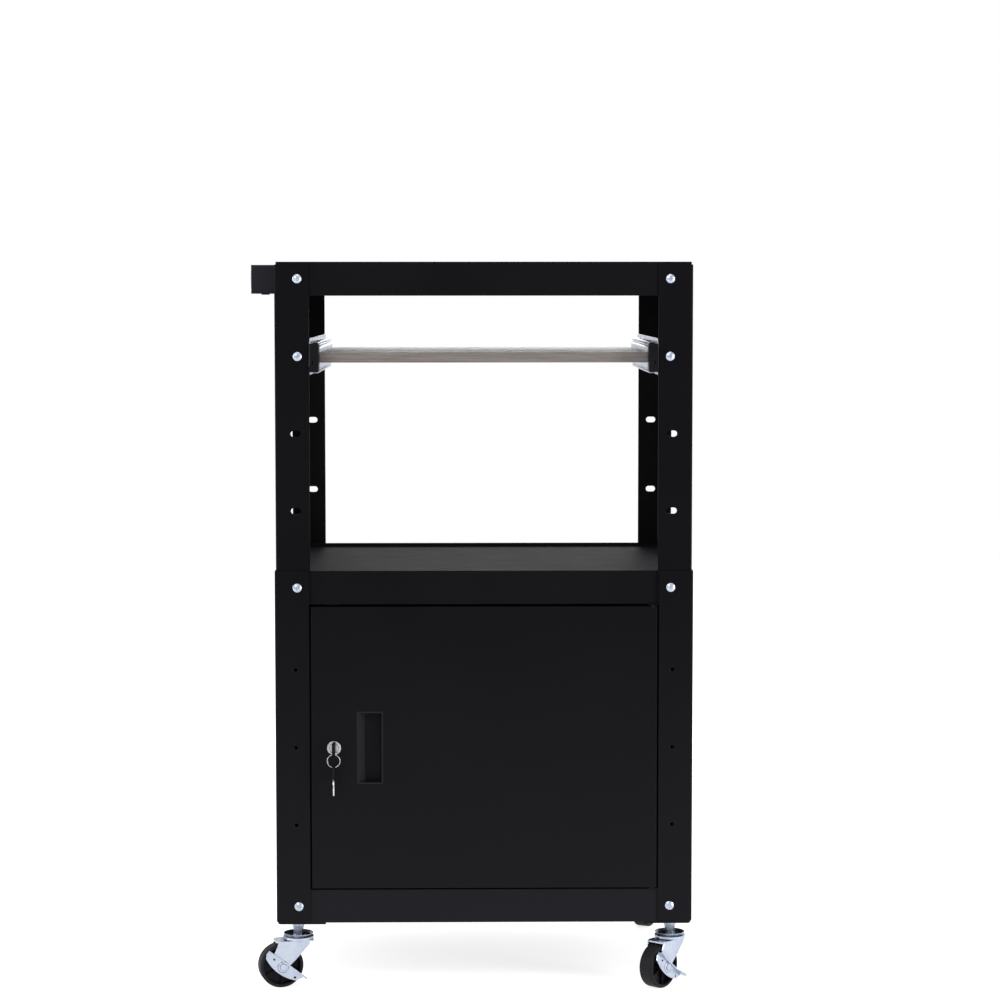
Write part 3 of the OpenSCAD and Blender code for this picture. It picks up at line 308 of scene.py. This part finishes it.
def grained_strip(name):
    """The strip on the tray's front edge: long grey-brown grain."""
    shader = Shader(name)
    grain = shader.noise(30, 6, 0.7, stretch=(0.35, 8, 14), distort=0.6)
    shader.colour(shader.ramp(grain, [(0.28, (0.085, 0.070, 0.060)), (0.48, (0.175, 0.150, 0.138)),
                                      (0.72, (0.250, 0.225, 0.215))]))
    shader.roughness(shader.spread(grain, 0.6, 0.42))
    shader.bump(grain, 0.2, 0.0004)
    return shader.material


MATERIALS = {
    "black_coat": powder_coat("black_coat", (0.0038, 0.0037, 0.0044), (0.0049, 0.0047, 0.0057), 0.42),
    "box_grey": powder_coat("box_grey", (0.016, 0.016, 0.020), (0.024, 0.024, 0.030), 0.48),
    "zinc": zinc_plate("zinc"),
    "lock_chrome": chrome_plate("lock_chrome", (0.27, 0.28, 0.29), (0.40, 0.41, 0.42)),
    "black_plastic": moulded("black_plastic", (0.0040, 0.0039, 0.0046), (0.0075, 0.0073, 0.0085),
                             0.4, 900, 0.07),
    "wheel_plastic": moulded("wheel_plastic", (0.006, 0.0055, 0.008), (0.011, 0.0095, 0.014),
                             0.42, 500, 0.1),
    "nylon": moulded("nylon", (0.030, 0.029, 0.030), (0.045, 0.044, 0.045), 0.4, 900, 0.2),
    "tray_laminate": tray_laminate("tray_laminate"),
    "tray_edge": grained_strip("tray_edge"),
}
TREAD = worn_tread("wheel_tread")
BLADE = chrome_plate("blade_plate", (0.50, 0.50, 0.49), (0.62, 0.62, 0.60))
PULL = recess_plastic("pull_plastic")
SHELF_COAT = powder_coat("shelf_coat", (0.0066, 0.0064, 0.0075), (0.0082, 0.0079, 0.0093), 0.6, 0.012)
PIN_STEEL = chrome_plate("pin_steel", (0.012, 0.012, 0.013), (0.020, 0.020, 0.021))
# Parts of the model whose look differs from the rest of their slot
SPECIAL = {"door_pull": PULL, "top_shelf": SHELF_COAT, "middle_shelf": SHELF_COAT,
           "bottom_shelf": SHELF_COAT, "hinge_pins": PIN_STEEL}

# Rounding of the edges of the model's own parts, in millimetres, by the start of their names
ROUNDINGS = [("lower_leg", 0.5), ("upper_leg", 0.5), ("top_shelf", 0.7), ("middle_shelf", 0.7),
             ("bottom_shelf", 0.7), ("door_panel", 0.5), ("door_pull", 0.4), ("power_box", 0.45),
             ("power_sockets", 0.3), ("fork", 0.7), ("tray_board", 0.4), ("slide_ends", 1.6),
             ("caster_stems", 0.5), ("tray_bracket", 0.4), ("brake_lever", 0.5), ("lock_housing", 0.9),
             ("frame_bolts", 0.3), ("axle", 0.6)]
COMMON_ROUNDING = 0.25
WHEEL_ROUNDING = 0.35
# Edges whose faces meet at more than this angle are rounded
SHARP = math.radians(28)
# Vertices nearer than this, in millimetres, are one
SAME_POINT = 0.01
# Parts whose flat faces stay in triangles: as one face, the pull's mouth would close when rounded
KEEPS_FACES = ["door_pull"]


def add_modifier(obj, name, kind, **values):
    modifier = obj.modifiers.new(name, kind)
    for key, value in values.items():
        setattr(modifier, key, value)


def round_edges(obj, width):
    """Rounds an object's sharp edges by a width in millimetres."""
    obj.data.shade_smooth()
    add_modifier(obj, "rounding", "BEVEL", width=width * MM, segments=3, limit_method="ANGLE",
                 angle_limit=SHARP, harden_normals=True)


def dress_node(name, node, slot):
    """Gives a part of the model its material, smooth curved faces and rounded edges."""
    node.data.materials.clear()
    node.data.materials.append(SPECIAL.get(name) or MATERIALS[slot])
    custom = node.data.attributes.get("custom_normal")
    if custom:
        node.data.attributes.remove(custom)
    add_modifier(node, "weld", "WELD", merge_threshold=SAME_POINT * MM)
    if name not in KEEPS_FACES:
        add_modifier(node, "flat", "DECIMATE", decimate_type="DISSOLVE", angle_limit=math.radians(1))
    widths = [width for start, width in ROUNDINGS if name.startswith(start)]
    round_edges(node, widths[0] if widths else COMMON_ROUNDING)


def dress_model():
    for part in frame["record"]["subparts"]:
        dress_node(part["node"], NODES[part["node"]], part["material_slot"])


def add_piece(name, mesh, slot, body, replaced=(), materials=()):
    """Adds a piece whose mesh lies in the cart's own place, riding on a body."""
    obj = bpy.data.objects.new(name, mesh)
    bpy.context.scene.collection.objects.link(obj)
    for material in materials or (MATERIALS[slot],):
        mesh.materials.append(material)
    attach(obj, body)
    if replaced:
        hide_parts(*replaced)
    return obj


def lathe(outline, steps):
    """A closed outline of (radius, height) turned about Z, in millimetres."""
    work = bmesh.new()
    rings = []
    for step in range(steps):
        angle = 2 * math.pi * step / steps
        rings.append([work.verts.new((r * math.cos(angle), r * math.sin(angle), z)) for r, z in outline])
    count = len(outline)
    for step in range(steps):
        here, there = rings[step], rings[(step + 1) % steps]
        for i in range(count):
            j = (i + 1) % count
            work.faces.new((here[i], there[i], there[j], here[j]))
    bmesh.ops.remove_doubles(work, verts=work.verts, dist=0.001)
    bmesh.ops.recalc_face_normals(work, faces=work.faces)
    return work


def box(work, low, high, turn=Matrix()):
    """Adds a box between two corners, turned by a matrix."""
    made = bmesh.ops.create_cube(work, size=1)["verts"]
    middle = (Vector(low) + Vector(high)) / 2
    size = Vector(high) - Vector(low)
    place = turn @ Matrix.Translation(middle) @ Matrix.Diagonal((*size, 1))
    bmesh.ops.transform(work, matrix=place, verts=made)
    return made


def finish_mesh(name, work, place):
    """Turns a bmesh in millimetres into a mesh in the cart's place, in metres."""
    work.transform(place @ Matrix.Scale(MM, 4))
    mesh = bpy.data.meshes.new(name)
    work.to_mesh(mesh)
    work.free()
    return mesh


def arc(centre, radius, start, end, steps):
    """Points of an arc in a plane, its angles in degrees."""
    turns = [math.radians(start + (end - start) * step / steps) for step in range(steps + 1)]
    return [(centre[0] + radius * math.cos(turn), centre[1] + radius * math.sin(turn)) for turn in turns]


def plate(name, outlines, thickness, rounding, place):
    """A plate with rounded edges: the first outline, less the others, centred on its own plane."""
    curve = bpy.data.curves.new(name, "CURVE")
    curve.dimensions = "2D"
    curve.fill_mode = "BOTH"
    curve.extrude = thickness / 2 - rounding
    curve.bevel_depth = rounding
    curve.bevel_resolution = 2
    curve.offset = -rounding
    for outline in outlines:
        spline = curve.splines.new("POLY")
        spline.points.add(len(outline) - 1)
        for point, (x, y) in zip(spline.points, outline):
            point.co = (x, y, 0, 1)
        spline.use_cyclic_u = True
    shape = bpy.data.objects.new(name, curve)
    work = bmesh.new()
    work.from_mesh(shape.to_mesh())
    shape.to_mesh_clear()
    bpy.data.objects.remove(shape)
    bpy.data.curves.remove(curve)
    bmesh.ops.remove_doubles(work, verts=work.verts, dist=0.001)
    return finish_mesh(name, work, place)


def along(axis, across, origin):
    """A matrix whose Z runs along an axis and whose X runs near another direction."""
    z = Vector(axis).normalized()
    y = z.cross(Vector(across)).normalized()
    return Matrix.Translation(origin) @ Matrix((y.cross(z), y, z)).transposed().to_4x4()


# The wheels, in millimetres. The steps of the rim and the boss are (radius, height over the side face),
# and those of the rim count from the wheel's own radius
WHEEL_HALF_WIDTH = 12
TREAD_ROUNDING = 4
HUB_INNER = 4.1
RIM_STEPS = ((-4.7, 0), (-5.1, -0.6), (-5.6, -0.9), (-6.1, -8.6))
BOSS_STEPS = ((10.4, -8.9), (8.7, -8.4), (8.4, -0.5), (7.9, 0), (4.9, 0), (4.4, -0.5))


BORE_EDGE_DROP = 1
RIBS = 6
RIB_HALF_THICKNESS = 0.8
# How far the ribs stay below the side face, and sink into the web, the boss and the rim
RIB_DROP = 4.5
RIB_SINK = 0.5
WEB_HALF_THICKNESS = 3.2


def wheel_outline(radius):
    """Half of the wheel's outline, from the middle of the tread to the bore."""
    edge = (radius - TREAD_ROUNDING, WHEEL_HALF_WIDTH - TREAD_ROUNDING)
    points = [(radius, 0)] + arc(edge, TREAD_ROUNDING, 0, 78, 7)
    points += [(radius + inward, WHEEL_HALF_WIDTH + down) for inward, down in RIM_STEPS]
    points += [(out, WHEEL_HALF_WIDTH + down) for out, down in BOSS_STEPS]
    return points + [(HUB_INNER, WHEEL_HALF_WIDTH - BORE_EDGE_DROP)]


def make_wheel(corner):
    """A wheel with a rounded tread, a lipped rim, a thin web, low ribs and a boss."""
    joint = JOINTS["roll_" + corner]
    low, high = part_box("wheel_" + corner)
    radius = (high.z - low.z) / 2 / MM
    half = wheel_outline(radius)
    mirrored = [(r, -z) for r, z in reversed(half) if z > 0]
    work = lathe(half + mirrored, 96)
    for face in work.faces:
        centre = face.calc_center_median()
        face.material_index = 0 if math.hypot(centre.x, centre.y) > radius + RIM_STEPS[0][0] else 1
    rib_top = WHEEL_HALF_WIDTH - RIB_DROP
    for i in range(RIBS):
        turn = Matrix.Rotation(2 * math.pi * i / RIBS, 4, "Z")
        for z in ((WEB_HALF_THICKNESS - RIB_SINK, rib_top), (-rib_top, RIB_SINK - WEB_HALF_THICKNESS)):
            made = box(work, (BOSS_STEPS[1][0] - RIB_SINK, -RIB_HALF_THICKNESS, z[0]),
                       (radius + RIM_STEPS[3][0] + RIB_SINK, RIB_HALF_THICKNESS, z[1]), turn)
            for face in {face for vert in made for face in vert.link_faces}:
                face.material_index = 1
    place = along(joint["axis"], (0, 0, 1), joint["pos_m"])
    mesh = finish_mesh("wheel_" + corner, work, place)
    piece = add_piece("wheel_shell_" + corner, mesh, "wheel_plastic", "roller_" + corner,
                      ("wheel_" + corner,), (TREAD, MATERIALS["wheel_plastic"]))
    round_edges(piece, WHEEL_ROUNDING)


# A low boss pressed around the rivet of each brake lever, as (radius, height), in millimetres
LEVER_BOSS = [(4.85, 0), (4.85, 1.0), (6.0, 1.15), (7.4, 0.7), (8.6, 0)]
LEVER_FACE_FROM_AXLE = 18.0


def make_lever_boss(side):
    joint = JOINTS["brake_press_" + side]
    axis = Vector(joint["axis"])
    place = along(axis, (0, 0, 1), Vector(joint["pos_m"]) + axis * LEVER_FACE_FROM_AXLE * MM)
    mesh = finish_mesh("lever_boss", lathe(LEVER_BOSS, 48), place)
    mesh.shade_smooth()
    add_piece("lever_boss_" + side, mesh, "zinc", "brake_" + side)


# Keys, in millimetres: a bow with a hole near its rim, and a blade with cuts along one edge
BOW_R = 10
BOW_T = 4.4
BOW_HOLE_R = 2.2
BOW_RIM = 1.3
BOW_ROUNDING = 1.1
BLADE_T = 2.0
BLADE_HALF_W = 3.5
BLADE_CUTS = (1.5, 2.6, 0.8, 2.1, 1.2)
BLADE_CUT_PITCH = 4.2
BLADE_TIP = 2.4
BLADE_TIP_DROP = 0.6
BLADE_TOOTH_DROP = 0.3
BLADE_SHOULDER = 0.5
BLADE_ROUNDING = 0.2
CUT_FLAT_SHARE = 0.3
KEY_BLADE = 9
SPARE_BLADE = 25.7


def blade_outline(length):
    """A blade along +X from the origin, its cuts along the upper edge and its tip pointed."""
    shoulder = length - BLADE_TIP - BLADE_CUT_PITCH * len(BLADE_CUTS)
    points = [(-BOW_RIM, -BLADE_HALF_W), (length - BLADE_TIP, -BLADE_HALF_W), (length, 0),
              (length - BLADE_TIP, BLADE_HALF_W - BLADE_TIP_DROP)]
    for i, cut in enumerate(reversed(BLADE_CUTS)):
        right = length - BLADE_TIP - BLADE_CUT_PITCH * i
        flat = BLADE_CUT_PITCH * CUT_FLAT_SHARE
        middle = right - BLADE_CUT_PITCH / 2
        points += [(middle + flat / 2, BLADE_HALF_W - cut), (middle - flat / 2, BLADE_HALF_W - cut)]
        points.append((right - BLADE_CUT_PITCH, BLADE_HALF_W - BLADE_TOOTH_DROP))
    return points + [(shoulder - BLADE_SHOULDER, BLADE_HALF_W), (-BOW_RIM, BLADE_HALF_W)]


def make_key(node, body, blade_way, blade_length):
    """A key whose bow stands edge-on to the front, with its blade along a direction."""
    low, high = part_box(node)
    middle = (low + high) / 2
    hole_up = BOW_R - BOW_RIM - BOW_HOLE_R
    if node == "key":
        middle.y = low.y + BOW_R * MM
        hole_up = -hole_up
    else:
        middle.z = high.z - BOW_R * MM
    facing = along((1, 0, 0), (0, 1, 0), middle)
    rim = arc((0, 0), BOW_R, 0, 352.5, 47)
    hole = arc((0, hole_up), BOW_HOLE_R, 0, 345, 23)
    mesh = plate(node + "_bow", [rim, hole], BOW_T, BOW_ROUNDING, facing)
    mesh.shade_smooth()
    add_piece(node + "_bow", mesh, "black_plastic", body, (node,))
    way = Vector(blade_way)
    start = middle + way * BOW_R * MM
    mesh = plate(node + "_blade", [blade_outline(blade_length)], BLADE_T, BLADE_ROUNDING,
                 along((1, 0, 0), way, start))
    add_piece(node + "_blade", mesh, "lock_chrome", body, (), (BLADE,))


# Slides, in millimetres: three rolled channels a side
RAIL_T = 1.2
LIP = 3.2
BEND = 2.6
RAIL_ROUNDING = 0.1
# How far each channel reaches across, as a share of the room between the bracket and the tray
RAIL_REACH = {"slide_outers": 0.84, "slide_middles": 0.66, "slide_inners": 0.55}


def ribbon(line, thickness):
    """The outline of a strip of even thickness along a line of points."""
    left, right = [], []
    for i, point in enumerate(line):
        before, after = line[max(i - 1, 0)], line[min(i + 1, len(line) - 1)]
        way = Vector((after[0] - before[0], after[1] - before[1])).normalized() * thickness / 2
        left.append((point[0] - way.y, point[1] + way.x))
        right.append((point[0] + way.y, point[1] - way.x))
    return left + right[::-1]


def rail_outline(half_height, reach):
    """A channel with its web at X = 0, rolled flanges and turned-in lips."""
    top = half_height - RAIL_T / 2
    web = RAIL_T / 2
    end = reach - RAIL_T / 2
    upper = [(end, top - LIP)] + arc((end - BEND / 2, top - BEND / 2), BEND / 2, 0, 90, 5)
    upper += arc((web + BEND, top - BEND), BEND, 90, 180, 6)
    return ribbon(upper + [(x, -y) for x, y in reversed(upper)], RAIL_T)


def make_rails(node, body, inward):
    """Both channels of a node, their webs outside or, where inward is False, against the tray."""
    low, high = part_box(node)
    height = (high.z - low.z) / MM
    length = (high.y - low.y) / MM
    middle_y, middle_z = (low.y + high.y) / 2, (low.z + high.z) / 2
    outer_left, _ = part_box("slide_outers")
    tray_left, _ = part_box("tray_board")
    reach = RAIL_REACH[node] * (tray_left.x - outer_left.x) / MM
    for side, web_x in (("left", low.x), ("right", high.x)):
        sign = 1 if side == "left" else -1
        if not inward:
            web_x += sign * reach * MM
            sign = -sign
        place = along((0, -sign, 0), (sign, 0, 0), Vector((web_x, middle_y, middle_z)))
        mesh = plate(node + "_" + side, [rail_outline(height / 2, reach)], length, RAIL_ROUNDING, place)
        add_piece(node + "_" + side, mesh, "zinc", body, (node,) if side == "left" else ())


def make_pieces():
    for corner in CORNERS:
        make_wheel(corner)
    for side in ("left", "right"):
        make_lever_boss(side)
    make_key("key", "lock", (0, 1, 0), KEY_BLADE)
    make_key("spare_key", "spare", (0, 0, -1), SPARE_BLADE)
    make_rails("slide_outers", "frame", True)
    make_rails("slide_middles", "slide_middle", True)
    make_rails("slide_inners", "tray", False)


WHITE = (1, 1, 1, 1)
SKY = (0.95, 0.97, 1, 1)
SKY_STRENGTH = 0.5
FLOOR_COLOUR = (0.86, 0.86, 0.87, 1)
FLOOR_GLOW = 0.78
FLOOR_ROUGHNESS = 0.9
FLOOR_HALF = 6


def seen_directly(tree):
    """1 for rays from the camera, mirrored rays and rays through glass, and 0 for the rest."""
    path = tree.nodes.new("ShaderNodeLightPath")
    result = path.outputs["Is Camera Ray"]
    for name in ("Is Glossy Ray", "Is Transmission Ray"):
        both = tree.nodes.new("ShaderNodeMath")
        both.operation = "MAXIMUM"
        tree.links.new(result, both.inputs[0])
        tree.links.new(path.outputs[name], both.inputs[1])
        result = both.outputs[0]
    return result


def make_world():
    world = bpy.data.worlds.new("studio")
    bpy.context.scene.world = world
    world.use_nodes = True
    tree = world.node_tree
    tree.nodes.clear()
    mix = tree.nodes.new("ShaderNodeMixShader")
    tree.links.new(seen_directly(tree), mix.inputs["Fac"])
    for socket, colour, strength in ((1, SKY, SKY_STRENGTH), (2, WHITE, 1)):
        sky = tree.nodes.new("ShaderNodeBackground")
        sky.inputs["Color"].default_value = colour
        sky.inputs["Strength"].default_value = strength
        tree.links.new(sky.outputs[0], mix.inputs[socket])
    output = tree.nodes.new("ShaderNodeOutputWorld")
    tree.links.new(mix.outputs[0], output.inputs["Surface"])


def make_floor():
    """A pale floor that shows white where it is lit and keeps the cart's shadow."""
    mesh = bpy.data.meshes.new("floor")
    corners = [(x * FLOOR_HALF, y * FLOOR_HALF, 0) for x, y in ((-1, -1), (1, -1), (1, 1), (-1, 1))]
    mesh.from_pydata(corners, [], [(0, 1, 2, 3)])
    floor = bpy.data.objects.new("floor", mesh)
    bpy.context.scene.collection.objects.link(floor)
    material = bpy.data.materials.new("floor")
    material.use_nodes = True
    tree = material.node_tree
    surface = tree.nodes["Principled BSDF"]
    surface.inputs["Base Color"].default_value = FLOOR_COLOUR
    surface.inputs["Roughness"].default_value = FLOOR_ROUGHNESS
    surface.inputs["Specular IOR Level"].default_value = 0
    surface.inputs["Emission Color"].default_value = WHITE
    glow = tree.nodes.new("ShaderNodeMath")
    glow.operation = "MULTIPLY"
    glow.inputs[1].default_value = FLOOR_GLOW
    tree.links.new(seen_directly(tree), glow.inputs[0])
    tree.links.new(glow.outputs[0], surface.inputs["Emission Strength"])
    mesh.materials.append(material)


# Each lamp's place and size, in metres, and its power, in watts
LAMP_AIM = (0, 0, 0.55)
LAMPS = {"key": ((-1.6, -2.6, 2.6), (1.6, 1.2), 30),
         "top": ((0.2, -0.2, 3.2), (2.4, 2.0), 34),
         "strip_left": ((-2.6, -0.6, 0.9), (0.4, 2.2), 22),
         "strip_right": ((2.4, -1.6, 0.9), (0.5, 2.2), 34),
         "back": ((0.6, 2.8, 1.8), (2.0, 1.4), 22)}


def area_lamp(name, place, size, power):
    """A soft rectangular lamp aimed at the middle of the cart."""
    data = bpy.data.lights.new(name, "AREA")
    data.shape = "RECTANGLE"
    data.size, data.size_y = size
    data.energy = power
    lamp = bpy.data.objects.new(name, data)
    bpy.context.scene.collection.objects.link(lamp)
    lamp.location = place
    lamp.visible_camera = False
    lamp.rotation_euler = (Vector(LAMP_AIM) - Vector(place)).to_track_quat("-Z", "Y").to_euler()


def make_scene():
    make_camera()
    make_world()
    make_floor()
    for name, (place, size, power) in LAMPS.items():
        area_lamp(name, place, size, power)
    bpy.context.scene.view_settings.view_transform = "Standard"
    dress_model()
    make_pieces()


make_scene()
